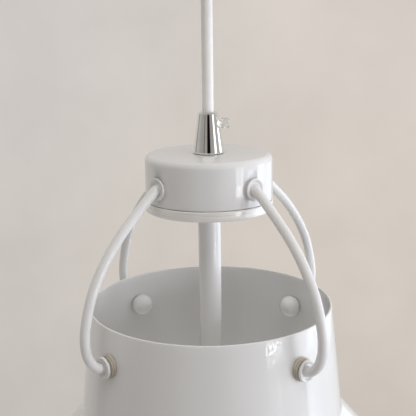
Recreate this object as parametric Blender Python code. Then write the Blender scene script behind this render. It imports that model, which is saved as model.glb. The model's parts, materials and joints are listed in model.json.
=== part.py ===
"""Pendant lamp shaped like a milk pail, hung on a textile flex from a ceiling rose.

The frame has +Z up and its origin on the ceiling, at the centre of the rose's plate, so the
whole lamp lies below z = 0. Heights inside the lamp are given from the rim of the shade's neck
and turned into world heights with RIM_Z. All lengths are in metres.
"""
import math

import bmesh
import bpy
from mathutils import Vector

# Driving dimensions

GAP = 0.0003                   # clearance between pieces that touch
RIM_Z = -0.262                 # world height of the neck rim below the ceiling

FLEX_RADIUS = 0.0034
FLEX_BORE = 0.0040             # bore that the flex passes through in a grip
FLEX_ENTRY = 0.0015            # how far the free flex reaches into each grip
FLEX_END_GAP = 0.0014          # room for the flex's end face when it leans

GRIP_HEIGHT = 0.0243
GRIP_BASE_RADIUS = 0.00935
GRIP_MOUTH_RADIUS = 0.0059
GRIP_SCREW_FROM_MOUTH = 0.0069
GRIP_THREAD_DEPTH = 0.0115

TUBE_RADIUS = 0.0050           # threaded tube, outside
TUBE_BORE = 0.0039
TUBE_HOLE = TUBE_RADIUS + GAP

ROSE_RADIUS = 0.040
ROSE_DEPTH = 0.0303
PLATE_RADIUS = 0.036
PLATE_THICKNESS = 0.0016
ROSE_MOUTH_Z = -ROSE_DEPTH - GAP - GRIP_HEIGHT

CAP_RADIUS = 0.0380
CAP_TOP = 0.0925               # the next heights are measured from the neck rim
CAP_BOTTOM = 0.0653
CAP_FILLET = 0.0038
CAP_WALL = 0.0012
BASE_RADIUS = 0.0384
BASE_TOP = 0.0650
BASE_BOTTOM = 0.0590
GRIP_BASE = CAP_TOP + GAP
GRIP_MOUTH = GRIP_BASE + GRIP_HEIGHT

STEM_RADIUS = 0.00685
STEM_TOP = BASE_BOTTOM - GAP
STEM_BOTTOM = -0.046

ARM_RADIUS = 0.0029
ARM_HOLE = ARM_RADIUS + GAP
ARM_COUNT = 4
ARM_FIRST_AZIMUTH = math.radians(45)
ARM_TOP = 0.0760
ARM_FOOT = -0.0207
# The arm's centre line as (distance from the lamp's axis, height above the neck rim): a short
# stub through the cap, a long bow outwards, and a hook back through the neck.
ARM_ROUTE = [
    (0.0305, 0.0760), (0.0350, 0.0760), (0.0395, 0.0759), (0.0445, 0.0722),
    (0.0535, 0.0646), (0.0665, 0.0525), (0.0777, 0.0386), (0.0862, 0.0232),
    (0.0913, 0.0060), (0.0921, -0.0045), (0.0906, -0.0122), (0.0872, -0.0177),
    (0.0824, -0.0207), (0.0760, -0.0207), (0.0700, -0.0207),
]

FLANGE_RADIUS = 0.0065
UPPER_FLANGE_FACE = CAP_RADIUS + GAP          # distance of its back from the lamp's axis
UPPER_FLANGE_THICKNESS = 0.0019
LOWER_FLANGE_THICKNESS = 0.0026
SPACER_RADIUS = 0.0069
SPACER_FACE = 0.0791
SPACER_LENGTH = 0.0041          # before its back is cut to the neck
ARM_NUT_FACE = 0.0320
ARM_NUT_HEIGHT = 0.0039
BALL_RADIUS = 0.0069
BALL_CENTRE = 0.0708
BALL_FLAT = 0.0744

SHADE_WALL = 0.0012
NECK_RADIUS = 0.0744
NECK_LENGTH = 0.066
NECK_HEADING = math.atan2(1.0, 0.1054)        # below the horizontal, going down and outwards
NECK_FILLET = 0.005
SHOULDER_HEADING = math.radians(50)
SHOULDER_RADIUS = 0.115
BODY_FILLET = 0.026
BODY_HEADING = math.radians(86)
BODY_BOTTOM = -0.213
BEAD_RADIUS = 0.0023

HOLDER_TOP = -0.036
BULB_RADIUS = 0.030

WHITE = ("white_enamel", (0.84, 0.84, 0.83), 0.22, 0.0)
CHROME = ("chrome", (0.78, 0.78, 0.78), 0.06, 1.0)
STEEL = ("zinc_steel", (0.60, 0.61, 0.62), 0.35, 1.0)
BRASS = ("brass", (0.72, 0.56, 0.28), 0.30, 1.0)
TEXTILE = ("white_textile", (0.86, 0.85, 0.82), 0.85, 0.0)
CLEAR = ("clear_nylon", (0.86, 0.87, 0.84), 0.12, 0.0)
TAN = ("tan_nylon", (0.70, 0.64, 0.54), 0.35, 0.0)
BLACK = ("black_resin", (0.03, 0.03, 0.03), 0.35, 0.0)
CERAMIC = ("ceramic", (0.86, 0.84, 0.78), 0.30, 0.0)
OPAL = ("opal_glass", (0.93, 0.93, 0.90), 0.25, 0.0)
BROWN = ("brown_core", (0.20, 0.09, 0.04), 0.45, 0.0)
BLUE = ("blue_core", (0.04, 0.12, 0.42), 0.45, 0.0)
GREEN = ("green_core", (0.12, 0.42, 0.08), 0.45, 0.0)


# Scene helpers

def clear_scene():
    for obj in list(bpy.data.objects):
        bpy.data.objects.remove(obj, do_unlink=True)


def material(spec):
    name, colour, roughness, metallic = spec
    found = bpy.data.materials.get(name)
    if found:
        return found
    made = bpy.data.materials.new(name)
    made.use_nodes = True
    shader = made.node_tree.nodes["Principled BSDF"]
    shader.inputs["Base Color"].default_value = (*colour, 1.0)
    shader.inputs["Roughness"].default_value = roughness
    shader.inputs["Metallic"].default_value = metallic
    return made


def empty(name, z):
    """A named pivot on the lamp's axis at world height z."""
    pivot = bpy.data.objects.new(name, None)
    pivot.location = (0, 0, z)
    pivot.empty_display_size = 0.01
    bpy.context.collection.objects.link(pivot)
    return pivot


def place(name, data, spec, pivot, location=(0, 0, 0), rotation=(0, 0, 0)):
    """Link data as an object at a world location, as a child of a pivot."""
    obj = bpy.data.objects.new(name, data)
    bpy.context.collection.objects.link(obj)
    obj.parent = pivot
    obj.location = Vector(location) - pivot.location
    obj.rotation_euler = rotation
    if not data.materials:
        data.materials.append(material(spec))
    return obj


def cutter(name, data, location=(0, 0, 0), rotation=(0, 0, 0)):
    obj = bpy.data.objects.new(name, data)
    bpy.context.collection.objects.link(obj)
    obj.location = location
    obj.rotation_euler = rotation
    obj.hide_render = True
    obj.display_type = "WIRE"
    return obj


def cut(obj, tool):
    step = obj.modifiers.new(tool.name, "BOOLEAN")
    step.operation = "DIFFERENCE"
    step.object = tool
    step.solver = "EXACT"


# Mesh helpers

def finish_mesh(bm, name, sharp_angle=35):
    bmesh.ops.recalc_face_normals(bm, faces=bm.faces)
    mesh = bpy.data.meshes.new(name)
    bm.to_mesh(mesh)
    bm.free()
    mesh.shade_smooth()
    mesh.set_sharp_from_angle(angle=math.radians(sharp_angle))
    return mesh


def turned(name, profile, segments, hexagon=()):
    """Turn a profile of (radius, height) points about Z into one closed mesh.

    A profile that starts and ends on the axis makes a full solid; any other profile is a closed
    outline and makes a ring. Points whose index is in hexagon lie on a hexagon's flats.
    """
    bm = bmesh.new()
    rings = []
    for index, (radius, height) in enumerate(profile):
        if radius == 0:
            rings.append([bm.verts.new((0, 0, height))])
            continue
        ring = []
        for step in range(segments):
            angle = 2 * math.pi * step / segments
            reach = radius
            if index in hexagon:
                from_flat = (angle + math.pi / 6) % (math.pi / 3) - math.pi / 6
                reach = radius / math.cos(from_flat)
            ring.append(bm.verts.new((reach * math.cos(angle), reach * math.sin(angle), height)))
        rings.append(ring)
    pairs = list(zip(rings, rings[1:]))
    if profile[0][0] or profile[-1][0]:
        pairs.append((rings[-1], rings[0]))
    for ring, following in pairs:
        join_rings(bm, ring, following)
    for pole in (rings[0], rings[-1]):
        if len(pole) == 1 and not pole[0].link_faces:
            bm.verts.remove(pole[0])
    return finish_mesh(bm, name)


def join_rings(bm, ring, following):
    """Faces between two rings; a ring of one point is a pole, and a flat end is one face."""
    count = max(len(ring), len(following))
    if min(len(ring), len(following)) == 1:
        pole, full = (ring, following) if len(ring) == 1 else (following, ring)
        if pole[0].co.z == full[0].co.z:
            bm.faces.new(full)
            return
    for step in range(count):
        after = (step + 1) % count
        corners = [ring[step % len(ring)], ring[after % len(ring)],
                   following[after % len(following)], following[step % len(following)]]
        bm.faces.new(list(dict.fromkeys(corners)))


def tube_profile(outer, inner, low, high):
    return [(outer, low), (outer, high), (inner, high), (inner, low)]


def rod_profile(radius, low, high):
    return [(0, low), (radius, low), (radius, high), (0, high)]


def hex_nut(name, flat_radius, hole, height):
    return turned(name, tube_profile(flat_radius, hole, 0, height), 24, hexagon=(0, 1))


def radial_holes(name, radius, near, far, height):
    """Cutters through a wall at each arm: short cylinders lying along the arms' directions."""
    bm = bmesh.new()
    sides = 16
    for azimuth in arm_azimuths():
        outward = Vector((math.cos(azimuth), math.sin(azimuth), 0))
        sideways = Vector((-math.sin(azimuth), math.cos(azimuth), 0))
        ends = []
        for reach in (near, far):
            centre = outward * reach + Vector((0, 0, height))
            ends.append([
                bm.verts.new(centre + radius * (math.cos(turn) * sideways
                                                + math.sin(turn) * Vector((0, 0, 1))))
                for turn in (2 * math.pi * step / sides for step in range(sides))
            ])
        for step in range(sides):
            after = (step + 1) % sides
            bm.faces.new((ends[0][step], ends[0][after], ends[1][after], ends[1][step]))
        bm.faces.new(ends[0])
        bm.faces.new(ends[1])
    return finish_mesh(bm, name)


def smooth_route(points, steps):
    """Catmull-Rom points through a route, with each span cut into the same number of steps."""
    route = [Vector(point) for point in points]
    padded = [2 * route[0] - route[1], *route, 2 * route[-1] - route[-2]]
    result = []
    for a, b, c, d in zip(padded, padded[1:], padded[2:], padded[3:]):
        for step in range(steps):
            t = step / steps
            result.append(0.5 * (2 * b + (c - a) * t + (2 * a - 5 * b + 4 * c - d) * t * t
                                 + (3 * b - a - 3 * c + d) * t ** 3))
    result.append(route[-1])
    return result


def round_wire(name, points, radius, resolution):
    """A curve with a round section, filled caps and one straight piece between points."""
    curve = bpy.data.curves.new(name, "CURVE")
    curve.dimensions = "3D"
    curve.bevel_depth = radius
    curve.bevel_resolution = resolution
    curve.use_fill_caps = True
    spline = curve.splines.new("POLY")
    spline.points.add(len(points) - 1)
    for slot, point in zip(spline.points, points):
        slot.co = (*point, 1)
    return curve


def straight_route(low, high, count):
    return [(0, 0, low + (high - low) * step / (count - 1)) for step in range(count)]


def arm_azimuths():
    return [ARM_FIRST_AZIMUTH + 2 * math.pi * step / ARM_COUNT for step in range(ARM_COUNT)]


# Profile helpers

def arc(start, heading, end_heading, radius, steps):
    """Points of an arc from start; a heading is the angle below the horizontal."""
    points = []
    r, z = start
    turn = (end_heading - heading) / steps
    stride = 2 * radius * math.sin(abs(turn) / 2)
    for step in range(steps):
        middle = heading + turn * (step + 0.5)
        r += stride * math.cos(middle)
        z -= stride * math.sin(middle)
        points.append((r, z))
    return points


def offset_inwards(points, distance):
    """Move a profile that runs downwards and outwards towards the axis, along its normals."""
    moved = []
    last = len(points) - 1
    for index, (r, z) in enumerate(points):
        before = points[max(index - 1, 0)]
        after = points[min(index + 1, last)]
        along = Vector((after[0] - before[0], after[1] - before[1])).normalized()
        moved.append((r + along.y * distance, z - along.x * distance))
    return moved


def neck_radius(height):
    """Outside radius of the neck at a height at or below its rim."""
    return NECK_RADIUS - height / math.tan(NECK_HEADING)


# Ceiling rose

def grip_mesh(name, upwards):
    """Conical cord grip with its wide base at z = 0 and its mouth at plus or minus its height."""
    edge = 0.0005
    outline = [
        (TUBE_HOLE, 0), (GRIP_BASE_RADIUS - edge, 0), (GRIP_BASE_RADIUS, edge),
        (GRIP_MOUTH_RADIUS + 0.00015, GRIP_HEIGHT - 2 * edge),
        (GRIP_MOUTH_RADIUS - 0.0004, GRIP_HEIGHT - 0.6 * edge),
        (GRIP_MOUTH_RADIUS - 2 * edge, GRIP_HEIGHT),
        (FLEX_BORE, GRIP_HEIGHT), (FLEX_BORE, GRIP_THREAD_DEPTH), (TUBE_HOLE, GRIP_THREAD_DEPTH),
    ]
    side = 1 if upwards else -1
    return turned(name, [(r, side * z) for r, z in outline], 24)


def thumb_screw_mesh():
    """Nylon thumb screw along Z: its tip is at the flex and its head stands outside the grip."""
    tip = FLEX_RADIUS + 0.0004
    neck = 0.0075
    head_end = 0.0124
    return turned("thumb_screw", [
        (0, tip), (0.0016, tip), (0.0016, neck), (0.0026, neck), (0.00305, neck + 0.0006),
        (0.00305, head_end - 0.0006), (0.0025, head_end), (0, head_end),
    ], 12)


def add_grip(name, screw_name, base_z, upwards, pivot, screw_pivot_name):
    """A grip with the screw that clamps the flex, the screw on its own pivot and axis."""
    side = 1 if upwards else -1
    grip = place(name, grip_mesh(name, upwards), CHROME, pivot, (0, 0, base_z))
    screw_z = base_z + side * (GRIP_HEIGHT - GRIP_SCREW_FROM_MOUTH)
    sideways = (0, math.pi / 2, 0)
    hole = cutter(name + "_screw_hole",
                  turned(name + "_screw_hole", rod_profile(0.0019, 0.002, 0.012), 16),
                  (0, 0, screw_z), sideways)
    cut(grip, hole)
    screw_pivot = empty(screw_pivot_name, screw_z)
    place(screw_name, thumb_screw_mesh(), CLEAR, screw_pivot, (0, 0, screw_z), sideways)


def bracket_mesh():
    """Hat-shaped strap: two feet against the plate and a lowered middle for the tube."""
    width = 0.014
    upper = [(-0.033, -0.0019), (-0.020, -0.0019), (-0.014, -0.0160)]
    lower = [(-0.033, -0.0035), (-0.0212, -0.0035), (-0.0152, -0.0176)]
    outline = upper + [(-x, z) for x, z in reversed(upper)]
    outline += [(-x, z) for x, z in lower] + list(reversed(lower))
    bm = bmesh.new()
    face = bm.faces.new([bm.verts.new((x, -width / 2, z)) for x, z in outline])
    grown = bmesh.ops.extrude_face_region(bm, geom=[face])
    moved = [item for item in grown["geom"] if isinstance(item, bmesh.types.BMVert)]
    bmesh.ops.translate(bm, verts=moved, vec=(0, width, 0))
    return finish_mesh(bm, "hat_bracket")


def plate_holes():
    """Four ceiling screw holes, two rivet holes and the entry for the supply wires."""
    screw, rivet, supply = 0.0024, 0.0017, 0.005
    return [(screw, x, y) for x in (-0.020, 0.020) for y in (-0.020, 0.020)] + [
        (rivet, -0.027, 0), (rivet, 0.027, 0), (supply, 0, -0.022)]


def add_ceiling_rose(ceiling):
    plate = place("ceiling_plate",
                  turned("ceiling_plate", rod_profile(PLATE_RADIUS, -PLATE_THICKNESS, 0), 48),
                  STEEL, ceiling)
    bracket = place("hat_bracket", bracket_mesh(), STEEL, ceiling)
    for index, (radius, x, y) in enumerate(plate_holes()):
        shape = turned("hole", rod_profile(radius, -0.006, 0.002), 16)
        tool = cutter(f"plate_hole_{index + 1}", shape, (x, y, 0))
        cut(plate, tool)
        if y == 0:
            cut(bracket, tool)
    cut(bracket, cutter("bracket_tube_hole",
                        turned("hole", rod_profile(TUBE_HOLE, -0.020, -0.013), 24)))

    rivet = turned("rivet", [(0, -0.0004), (0.0014, -0.0004), (0.0014, -0.0038),
                             (0.0026, -0.0038), (0.0021, -0.0052), (0, -0.0056)], 12)
    for side, x in (("left", -0.027), ("right", 0.027)):
        place("bracket_rivet_" + side, rivet, STEEL, ceiling, (x, 0, 0))

    cup = [(TUBE_HOLE, -ROSE_DEPTH)]
    cup += [(ROSE_RADIUS - CAP_FILLET + CAP_FILLET * math.sin(turn),
             -ROSE_DEPTH + CAP_FILLET - CAP_FILLET * math.cos(turn))
            for turn in (math.radians(30 * step) for step in range(4))]
    cup += [(ROSE_RADIUS, -GAP), (ROSE_RADIUS - CAP_WALL, -GAP),
            (ROSE_RADIUS - CAP_WALL, -ROSE_DEPTH + CAP_FILLET),
            (ROSE_RADIUS - CAP_FILLET, -ROSE_DEPTH + CAP_WALL), (TUBE_HOLE, -ROSE_DEPTH + CAP_WALL)]
    place("rose_cup", turned("rose_cup", cup, 40), WHITE, ceiling)

    tube_low = -ROSE_DEPTH - GRIP_THREAD_DEPTH + 0.001
    place("rose_tube", turned("rose_tube", tube_profile(TUBE_RADIUS, TUBE_BORE, tube_low, -0.0105), 20),
          STEEL, ceiling)
    nut = hex_nut("tube_nut", 0.007, TUBE_HOLE, 0.0032)
    place("rose_nut_upper", nut, STEEL, ceiling, (0, 0, -0.0157))
    place("rose_nut_lower", nut, STEEL, ceiling, (0, 0, -0.0211))
    add_grip("rose_grip", "rose_grip_screw", -ROSE_DEPTH - GAP, False, ceiling,
             "rose_screw_axis")

    tail_low = ROSE_MOUTH_Z + FLEX_ENTRY + FLEX_END_GAP
    place("flex_upper_tail", round_wire("flex_upper_tail", straight_route(tail_low, -0.0094, 4),
                                        FLEX_RADIUS, 3), TEXTILE, ceiling)
    block = bmesh.new()
    bmesh.ops.create_cube(block, size=1)
    bmesh.ops.scale(block, verts=block.verts, vec=(0.018, 0.010, 0.009))
    bmesh.ops.bevel(block, geom=block.edges[:], offset=0.001, segments=1, affect="EDGES")
    place("terminal_block", finish_mesh(block, "terminal_block", 20), CERAMIC, ceiling,
          (0, 0.025, -0.012))
    cores = (("live_core", BROWN, -0.0016, -0.0006, -0.005),
             ("neutral_core", BLUE, 0.0016, -0.0006, 0.005),
             ("earth_core", GREEN, 0.0, 0.0014, 0.0))
    for name, spec, start_x, start_y, end_x in cores:
        route = [(start_x, start_y, -0.0091), (start_x, start_y + 0.0012, -0.0072),
                 (0.8 * end_x, 0.0085, -0.0062), (end_x, 0.0150, -0.0085), (end_x, 0.0196, -0.0118)]
        place(name, round_wire(name, smooth_route(route, 3), 0.0008, 1), spec, ceiling)


# Hanging flex

def add_flex(pivot):
    low = RIM_Z + GRIP_MOUTH - FLEX_ENTRY
    high = ROSE_MOUTH_Z + FLEX_ENTRY
    place("flex", round_wire("flex", straight_route(low, high, 7), FLEX_RADIUS, 4), TEXTILE, pivot)


# Lamp head: grip, cap, base plate, stem

def cap_profile():
    """Cap as a shell, open below, with a rounded top edge and a hole for the tube."""
    outer_centre = (CAP_RADIUS - CAP_FILLET, CAP_TOP - CAP_FILLET)
    outside = [(outer_centre[0] + CAP_FILLET * math.sin(turn),
                outer_centre[1] + CAP_FILLET * math.cos(turn))
               for turn in (math.radians(22.5 * step) for step in range(5))]
    inside = [(CAP_RADIUS - CAP_WALL, CAP_BOTTOM), (CAP_RADIUS - CAP_WALL, CAP_TOP - CAP_FILLET),
              (CAP_RADIUS - CAP_FILLET, CAP_TOP - CAP_WALL), (TUBE_HOLE, CAP_TOP - CAP_WALL)]
    return [(TUBE_HOLE, CAP_TOP), *outside, (CAP_RADIUS, CAP_BOTTOM), *inside]


def base_profile():
    """Shallow dish that closes the cap: a floor, a rim as wide as the cap and a locating lip."""
    floor = BASE_BOTTOM + 0.0014
    lip_outer = CAP_RADIUS - CAP_WALL - 0.0005
    lip_top = BASE_TOP + 0.0035
    edge = 0.0006
    return [(TUBE_HOLE, BASE_BOTTOM), (BASE_RADIUS - edge, BASE_BOTTOM),
            (BASE_RADIUS, BASE_BOTTOM + edge), (BASE_RADIUS, BASE_TOP - edge),
            (BASE_RADIUS - edge, BASE_TOP), (lip_outer, BASE_TOP), (lip_outer, lip_top),
            (lip_outer - 0.0012, lip_top), (lip_outer - 0.0012, floor), (TUBE_HOLE, floor)]


def add_lamp_head(lamp):
    on_rim = (0, 0, RIM_Z)
    add_grip("cord_grip", "cord_grip_screw", RIM_Z + GRIP_BASE, True, lamp, "cord_screw_axis")
    cap = place("top_cap", turned("top_cap", cap_profile(), 48), WHITE, lamp, on_rim)
    cut(cap, cutter("cap_arm_holes",
                    radial_holes("cap_arm_holes", ARM_HOLE, 0.033, 0.041, ARM_TOP), on_rim))
    place("cap_base_plate", turned("cap_base_plate", base_profile(), 48), WHITE, lamp, on_rim)
    place("cap_tube", turned("cap_tube", tube_profile(TUBE_RADIUS, TUBE_BORE, 0.050, 0.1036), 20),
          STEEL, lamp, on_rim)
    nut = hex_nut("cap_nut", 0.007, TUBE_HOLE, 0.0032)
    place("cap_top_nut", nut, STEEL, lamp, (0, 0, RIM_Z + CAP_TOP - CAP_WALL - GAP - 0.0032))
    place("cap_base_nut", nut, STEEL, lamp, (0, 0, RIM_Z + BASE_BOTTOM + 0.0014 + GAP))
    place("stem_tube", turned("stem_tube", tube_profile(STEM_RADIUS, TUBE_HOLE, STEM_BOTTOM, STEM_TOP),
                              32), WHITE, lamp, on_rim)
    inner_high = GRIP_MOUTH - FLEX_ENTRY - FLEX_END_GAP
    place("flex_inner", round_wire("flex_inner", straight_route(-0.052, inner_high, 8),
                                   FLEX_RADIUS, 3), TEXTILE, lamp, on_rim)


# Arms and their fittings

def flange_mesh(name, thickness):
    """Cup washer along Z with its back at 0: a rounded raised edge round a shallow dish."""
    dish = 0.55 * thickness
    return turned(name, [
        (ARM_HOLE, 0), (FLANGE_RADIUS - 0.0004, 0), (FLANGE_RADIUS, 0.0006),
        (FLANGE_RADIUS, thickness - 0.0006), (FLANGE_RADIUS - 0.0005, thickness),
        (FLANGE_RADIUS - 0.0012, thickness - 0.0002), (FLANGE_RADIUS - 0.0022, dish),
        (ARM_HOLE, dish),
    ], 16)


def ball_nut_mesh():
    """Ball with a flat back at z = BALL_FLAT - BALL_CENTRE and a blind hole for the arm's end."""
    back = BALL_FLAT - BALL_CENTRE
    start = math.acos(back / BALL_RADIUS)
    steps = 6
    ball = [(BALL_RADIUS * math.sin(turn), BALL_RADIUS * math.cos(turn))
            for turn in (start + (math.pi - start) * step / steps for step in range(steps))]
    hole_end = 0.0700 - BALL_CENTRE - GAP
    return turned("ball_nut", [(0, -BALL_RADIUS), *reversed(ball), (ARM_HOLE, back),
                               (ARM_HOLE, hole_end), (0, hole_end)], 16)


def neck_cone_cutter():
    """Solid as wide as the neck plus the gap, which shapes the backs of the spacers to it."""
    high, low = -0.008, -0.034
    outline = [(0, high), (neck_radius(high) + GAP, high), (neck_radius(low) + GAP, low), (0, low)]
    return cutter("neck_cone", turned("neck_cone", outline, 96), (0, 0, RIM_Z))


def add_arms(lamp):
    arm = round_wire("arm", [(r, 0, z) for r, z in smooth_route(ARM_ROUTE, 2)], ARM_RADIUS, 2)
    upper_flange = flange_mesh("upper_flange", UPPER_FLANGE_THICKNESS)
    lower_flange = flange_mesh("lower_flange", LOWER_FLANGE_THICKNESS)
    spacer = turned("neck_spacer", tube_profile(SPACER_RADIUS, ARM_HOLE, 0, SPACER_LENGTH), 16)
    arm_nut = hex_nut("arm_nut", 0.0045, ARM_HOLE, ARM_NUT_HEIGHT)
    ball_nut = ball_nut_mesh()
    neck_cone = neck_cone_cutter()
    fittings = (
        ("upper_flange", upper_flange, WHITE, UPPER_FLANGE_FACE, ARM_TOP),
        ("arm_nut", arm_nut, STEEL, ARM_NUT_FACE, ARM_TOP),
        ("lower_flange", lower_flange, WHITE, SPACER_FACE + GAP, ARM_FOOT),
        ("neck_spacer", spacer, TAN, SPACER_FACE - SPACER_LENGTH, ARM_FOOT),
        ("ball_nut", ball_nut, WHITE, BALL_CENTRE, ARM_FOOT),
    )
    for number, azimuth in enumerate(arm_azimuths(), start=1):
        outward = Vector((math.cos(azimuth), math.sin(azimuth), 0))
        place(f"arm_{number}", arm, WHITE, lamp, (0, 0, RIM_Z), (0, 0, azimuth))
        for name, mesh, spec, reach, height in fittings:
            where = outward * reach + Vector((0, 0, RIM_Z + height))
            piece = place(f"{name}_{number}", mesh, spec, lamp, where, (0, math.pi / 2, azimuth))
            if name == "neck_spacer":
                cut(piece, neck_cone)


# Shade

def shade_profile():
    """Pail-shaped shade: flaring neck, sloping shoulder, nearly straight body, rolled bead."""
    outside = [(NECK_RADIUS, 0.0), (neck_radius(-0.034), -0.034),
               (neck_radius(-NECK_LENGTH), -NECK_LENGTH)]
    outside += arc(outside[-1], NECK_HEADING, SHOULDER_HEADING, NECK_FILLET, 3)
    r, z = outside[-1]
    drop = (SHOULDER_RADIUS - r) * math.tan(SHOULDER_HEADING)
    outside.append((SHOULDER_RADIUS, z - drop))
    outside += arc(outside[-1], SHOULDER_HEADING, BODY_HEADING, BODY_FILLET, 4)
    r, z = outside[-1]
    outside.append((r + (z - BODY_BOTTOM) / math.tan(BODY_HEADING), BODY_BOTTOM))
    inside = offset_inwards(outside, SHADE_WALL)
    lip = 0.0003
    inside[0] = (NECK_RADIUS - SHADE_WALL, -lip)
    outside[0] = (NECK_RADIUS, -lip)
    top = [(NECK_RADIUS - SHADE_WALL + lip, 0), (NECK_RADIUS - lip, 0)]
    centre = Vector(outside[-1]) + Vector((BEAD_RADIUS - SHADE_WALL, -0.5 * BEAD_RADIUS))
    bead = [(centre.x + BEAD_RADIUS * math.cos(turn), centre.y - BEAD_RADIUS * math.sin(turn))
            for turn in (math.radians(-40 + 44 * step) for step in range(6))]
    return top + outside[:] + bead + list(reversed(inside))


def add_shade(lamp):
    shade = place("shade", turned("shade", shade_profile(), 48), WHITE, lamp, (0, 0, RIM_Z))
    cut(shade, cutter("neck_arm_holes",
                      radial_holes("neck_arm_holes", ARM_HOLE, 0.070, 0.082, ARM_FOOT),
                      (0, 0, RIM_Z)))


# Lampholder and bulb

def add_lampholder(lamp):
    on_rim = (0, 0, RIM_Z)
    collar = 0.0086
    bore = STEM_RADIUS + GAP
    cap = [(bore, HOLDER_TOP), (collar, HOLDER_TOP), (collar, -0.045), (0.0135, -0.0470),
           (0.0180, -0.0505), (0.0202, -0.0560), (0.0202, -0.0660), (0.0182, -0.0660),
           (0.0182, -0.0560), (0.0100, -0.0490), (bore, -0.0480)]
    place("holder_cap", turned("holder_cap", cap, 24), BLACK, lamp, on_rim)
    body = [(0.0156, -0.0663), (0.0202, -0.0663), (0.0202, -0.0700), (0.0215, -0.0715),
            (0.0215, -0.0970), (0.0205, -0.0990), (0.0156, -0.0990)]
    place("holder_body", turned("holder_body", body, 24), BLACK, lamp, on_rim)
    place("holder_insert", turned("holder_insert", rod_profile(0.0153, -0.0750, -0.0668), 24),
          CERAMIC, lamp, on_rim)
    place("holder_thread", turned("holder_thread", tube_profile(0.0146, 0.0141, -0.0950, -0.0753), 24),
          BRASS, lamp, on_rim)
    place("centre_contact", turned("centre_contact", [(0, -0.0753), (0.0045, -0.0753),
                                                      (0.0045, -0.0760), (0.0024, -0.0778),
                                                      (0, -0.0778)], 16), BRASS, lamp, on_rim)


def add_bulb(bulb_pivot):
    on_rim = (0, 0, RIM_Z)
    foot = [(0, -0.0781), (0.0045, -0.0781), (0.0045, -0.0792), (0.0090, -0.0815),
            (0.0122, -0.0840), (0, -0.0840)]
    place("bulb_foot", turned("bulb_foot", foot, 20), BLACK, bulb_pivot, on_rim)
    place("bulb_cap", turned("bulb_cap", tube_profile(0.0132, 0.0125, -0.1020, -0.0843), 24),
          BRASS, bulb_pivot, on_rim)
    outside = [(0.0130, -0.1023), (0.0140, -0.1070), (0.0185, -0.1190), (0.0262, -0.1370)]
    centre = -0.1570
    outside += [(BULB_RADIUS * math.cos(turn), centre - BULB_RADIUS * math.sin(turn))
                for turn in (math.radians(-18 + 18 * step) for step in range(6))]
    bottom = centre - BULB_RADIUS
    glass = 0.0009
    inside = [(max(r - glass, 0), z + (glass if z < centre else 0)) for r, z in outside]
    profile = [(0, bottom), *reversed(outside), *inside, (0, bottom + glass)]
    place("bulb_glass", turned("bulb_glass", profile, 24), OPAL, bulb_pivot, on_rim)


def build():
    clear_scene()
    ceiling = empty("ceiling", 0)
    swing = empty("flex_swing_pivot", ROSE_MOUTH_Z)
    lamp = empty("lamp_turn_pivot", RIM_Z + GRIP_MOUTH)
    bulb = empty("bulb_turn_pivot", RIM_Z - 0.100)
    add_ceiling_rose(ceiling)
    add_flex(swing)
    add_lamp_head(lamp)
    add_arms(lamp)
    add_shade(lamp)
    add_lampholder(lamp)
    add_bulb(bulb)


build()
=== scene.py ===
"""Finished look of the pail-shaped pendant lamp: fine surfaces, materials, stage, light and camera.

Heights inside the lamp are measured from the rim of the shade's neck, in metres, and RIM_Z turns
them into world heights.
"""
import json
import math

import bmesh
import bpy
from mathutils import Euler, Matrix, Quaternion, Vector

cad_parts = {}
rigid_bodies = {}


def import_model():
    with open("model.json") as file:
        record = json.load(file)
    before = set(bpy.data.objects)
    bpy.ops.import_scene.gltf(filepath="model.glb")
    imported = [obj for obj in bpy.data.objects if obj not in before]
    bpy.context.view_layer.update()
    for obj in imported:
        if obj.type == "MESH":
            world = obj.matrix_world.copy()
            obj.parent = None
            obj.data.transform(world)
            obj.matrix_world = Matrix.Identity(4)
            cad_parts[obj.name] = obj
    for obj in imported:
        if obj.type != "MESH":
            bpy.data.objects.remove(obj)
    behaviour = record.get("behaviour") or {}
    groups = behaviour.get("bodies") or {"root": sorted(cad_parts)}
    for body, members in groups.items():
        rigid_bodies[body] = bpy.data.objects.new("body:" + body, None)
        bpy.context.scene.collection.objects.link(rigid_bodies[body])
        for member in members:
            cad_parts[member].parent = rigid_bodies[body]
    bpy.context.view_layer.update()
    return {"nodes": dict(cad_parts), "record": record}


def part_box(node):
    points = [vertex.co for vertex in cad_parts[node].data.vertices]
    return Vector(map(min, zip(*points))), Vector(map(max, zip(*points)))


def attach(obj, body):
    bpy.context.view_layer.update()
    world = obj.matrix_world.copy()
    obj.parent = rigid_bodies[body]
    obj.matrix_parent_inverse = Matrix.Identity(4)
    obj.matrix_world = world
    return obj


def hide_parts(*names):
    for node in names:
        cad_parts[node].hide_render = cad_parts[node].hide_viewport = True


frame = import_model()

RIM_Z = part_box("shade")[1].z
NODES = frame["nodes"]

# Between pieces that are clamped together
GAP = 0.0003

# Flex, cord grips and ceiling rose; the rose's heights are world heights
FLEX_RADIUS = 0.0034
FLEX_ENTRY = 0.0015
BRAID_BUNDLES = 12
BRAID_PITCH = 0.0175
BRAID_DEPTH = 0.00021
BRAID_ROW = 0.00032
GRIP_HEIGHT = 0.0243
GRIP_BASE_RADIUS = 0.00935
GRIP_MOUTH_RADIUS = 0.0059
GRIP_BASE = 0.0928
GRIP_MOUTH = GRIP_BASE + GRIP_HEIGHT
GRIP_SCREW_FROM_MOUTH = 0.0069
TUBE_HOLE = 0.0053
ROSE_RADIUS = 0.040
ROSE_BOTTOM = -0.0303
ROSE_GRIP_BASE = ROSE_BOTTOM - GAP
ROSE_MOUTH = ROSE_GRIP_BASE - GRIP_HEIGHT

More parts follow.
